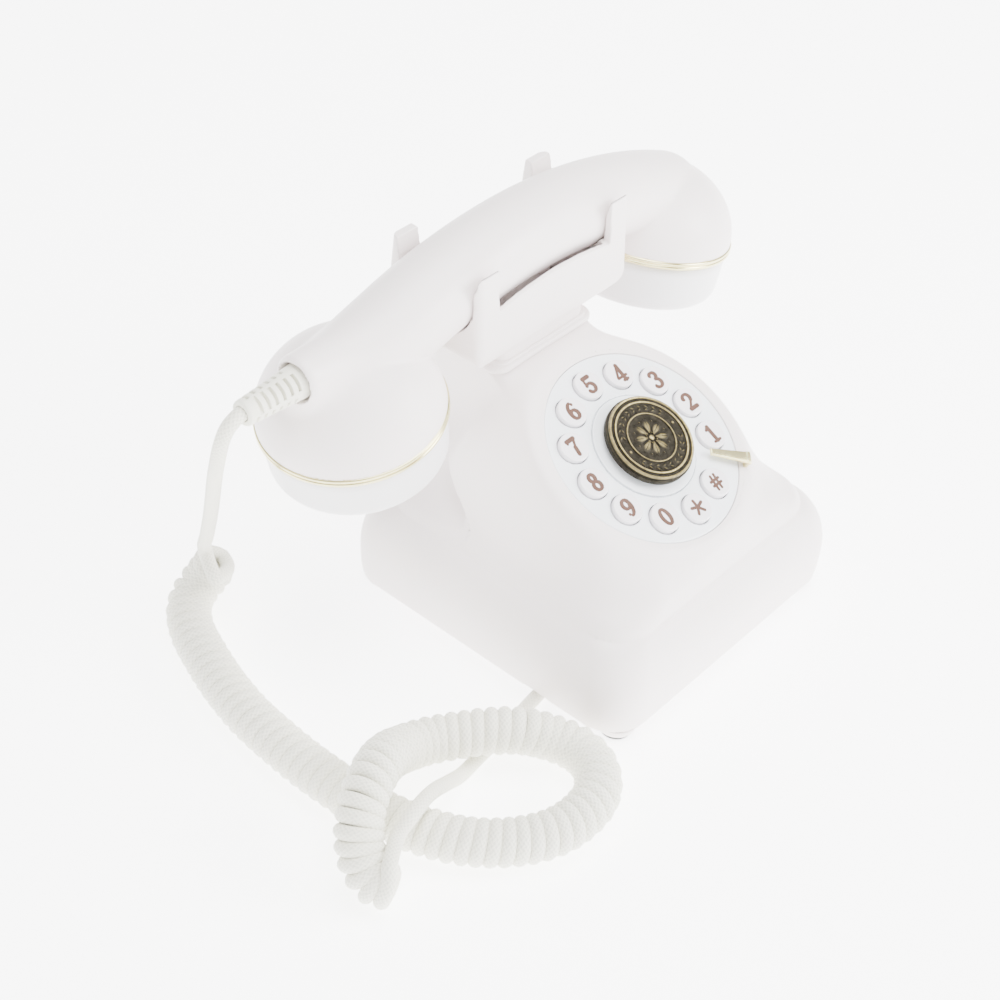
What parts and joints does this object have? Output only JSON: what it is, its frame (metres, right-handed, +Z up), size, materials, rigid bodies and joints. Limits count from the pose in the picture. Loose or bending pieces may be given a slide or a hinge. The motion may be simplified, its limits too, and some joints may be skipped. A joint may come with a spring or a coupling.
{
  "type": "cradle desk telephone",
  "caption": "Retro cradle desk telephone with a square soft-edged base, round push-button dial, lift-off arched handset and curly braided cord.",
  "frame": {"origin": "on the table, under the middle of the telephone's box without its cord", "axes": "+Z up, +X to the user's right along the handset with the earpiece, +Y to the back; the dial faces -Y"},
  "size_m": [0.2754, 0.1762, 0.1393],
  "materials": {
    "warm_white_plastic": "satin",
    "cap_plastic": "satin",
    "dial_plastic": "gloss",
    "key_plastic": "gloss",
    "gold_trim": "polished",
    "antique_bronze": "antique",
    "ivory_braid": "braided",
    "ivory_rubber": "satin",
    "black_rubber": "matte",
    "steel": "brushed",
    "iron_weight": "rough",
    "board_green": "satin",
    "grey_rubber": "matte",
    "black_plastic": "satin",
    "plug_plastic": "clear moulding"
  },
  "bodies": {
    "base": {"body_shell": "warm_white_plastic", "bottom_plate": "warm_white_plastic", "housing_screws": "steel", "foot_stubs": "warm_white_plastic", "foot_pads": "black_rubber", "neck_moulding": "warm_white_plastic", "cradle": "warm_white_plastic", "dial_plate": "dial_plastic", "finger_stop": "gold_trim", "dial_screws": "steel", "keypad_mat": "grey_rubber", "keypad_board": "board_green", "main_board": "board_green", "handset_jack": "black_plastic", "line_jack": "black_plastic", "ringer": "black_plastic", "ballast_weight": "iron_weight", "hook_switch": "steel", "plunger_guide": "black_plastic", "rocker_pin": "steel", "cord_handset_lead": "ivory_braid", "curly_cord": "ivory_braid", "cord_base_lead": "ivory_braid", "cord_plug": "plug_plastic"},
    "handset": {"handset_upper_shell": "warm_white_plastic", "handset_lower_shell": "warm_white_plastic", "mouth_ring": "gold_trim", "ear_ring": "gold_trim", "mouth_cap": "cap_plastic", "ear_cap": "cap_plastic", "microphone": "steel", "receiver": "steel", "handset_weight": "iron_weight", "handset_screws": "steel", "cord_boot": "ivory_rubber"},
    "plungers": {"hook_plungers": "warm_white_plastic"},
    "medallion": {"medallion": "antique_bronze"},
    "ringer_switch": {"ringer_switch": "black_plastic"},
    "key_1": {"key_1": "key_plastic"},
    "key_2": {"key_2": "key_plastic"},
    "key_3": {"key_3": "key_plastic"},
    "key_4": {"key_4": "key_plastic"},
    "key_5": {"key_5": "key_plastic"},
    "key_6": {"key_6": "key_plastic"},
    "key_7": {"key_7": "key_plastic"},
    "key_8": {"key_8": "key_plastic"},
    "key_9": {"key_9": "key_plastic"},
    "key_0": {"key_0": "key_plastic"},
    "key_star": {"key_star": "key_plastic"},
    "key_hash": {"key_hash": "key_plastic"}
  },
  "joints": [
    {"name": "handset_lift", "type": "slide", "parent": "base", "child": "handset", "axis": [0, 0, 1], "range_m": [0, 0.08]},
    {"name": "plunger_rise", "type": "slide", "parent": "base", "child": "plungers", "axis": [0, 0, 1], "range_m": [0, 0.004]},
    {"name": "medallion_rock", "type": "hinge", "parent": "base", "child": "medallion", "pos_m": [0, -0.02147, 0.06666], "axis": [1, 0, 0], "range_deg": [-2.5, 2.5], "stiffness_Nm_per_rad": 0.2},
    {"name": "ringer_slide", "type": "slide", "parent": "base", "child": "ringer_switch", "axis": [1, 0, 0], "range_m": [0, 0.004]},
    {"name": "press_1", "type": "slide", "parent": "base", "child": "key_1", "axis": [0, 0.4555, -0.8902], "range_m": [0, 0.0015], "stiffness_N_per_m": 60},
    {"name": "press_2", "type": "slide", "parent": "base", "child": "key_2", "axis": [0, 0.4555, -0.8902], "range_m": [0, 0.0015], "stiffness_N_per_m": 60},
    {"name": "press_3", "type": "slide", "parent": "base", "child": "key_3", "axis": [0, 0.4555, -0.8902], "range_m": [0, 0.0015], "stiffness_N_per_m": 60},
    {"name": "press_4", "type": "slide", "parent": "base", "child": "key_4", "axis": [0, 0.4555, -0.8902], "range_m": [0, 0.0015], "stiffness_N_per_m": 60},
    {"name": "press_5", "type": "slide", "parent": "base", "child": "key_5", "axis": [0, 0.4555, -0.8902], "range_m": [0, 0.0015], "stiffness_N_per_m": 60},
    {"name": "press_6", "type": "slide", "parent": "base", "child": "key_6", "axis": [0, 0.4555, -0.8902], "range_m": [0, 0.0015], "stiffness_N_per_m": 60},
    {"name": "press_7", "type": "slide", "parent": "base", "child": "key_7", "axis": [0, 0.4555, -0.8902], "range_m": [0, 0.0015], "stiffness_N_per_m": 60},
    {"name": "press_8", "type": "slide", "parent": "base", "child": "key_8", "axis": [0, 0.4555, -0.8902], "range_m": [0, 0.0015], "stiffness_N_per_m": 60},
    {"name": "press_9", "type": "slide", "parent": "base", "child": "key_9", "axis": [0, 0.4555, -0.8902], "range_m": [0, 0.0015], "stiffness_N_per_m": 60},
    {"name": "press_0", "type": "slide", "parent": "base", "child": "key_0", "axis": [0, 0.4555, -0.8902], "range_m": [0, 0.0015], "stiffness_N_per_m": 60},
    {"name": "press_star", "type": "slide", "parent": "base", "child": "key_star", "axis": [0, 0.4555, -0.8902], "range_m": [0, 0.0015], "stiffness_N_per_m": 60},
    {"name": "press_hash", "type": "slide", "parent": "base", "child": "key_hash", "axis": [0, 0.4555, -0.8902], "range_m": [0, 0.0015], "stiffness_N_per_m": 60}
  ],
  "couplings": [
    {"joint": "plunger_rise", "follows": "handset_lift", "ratio": 0.05}
  ]
}
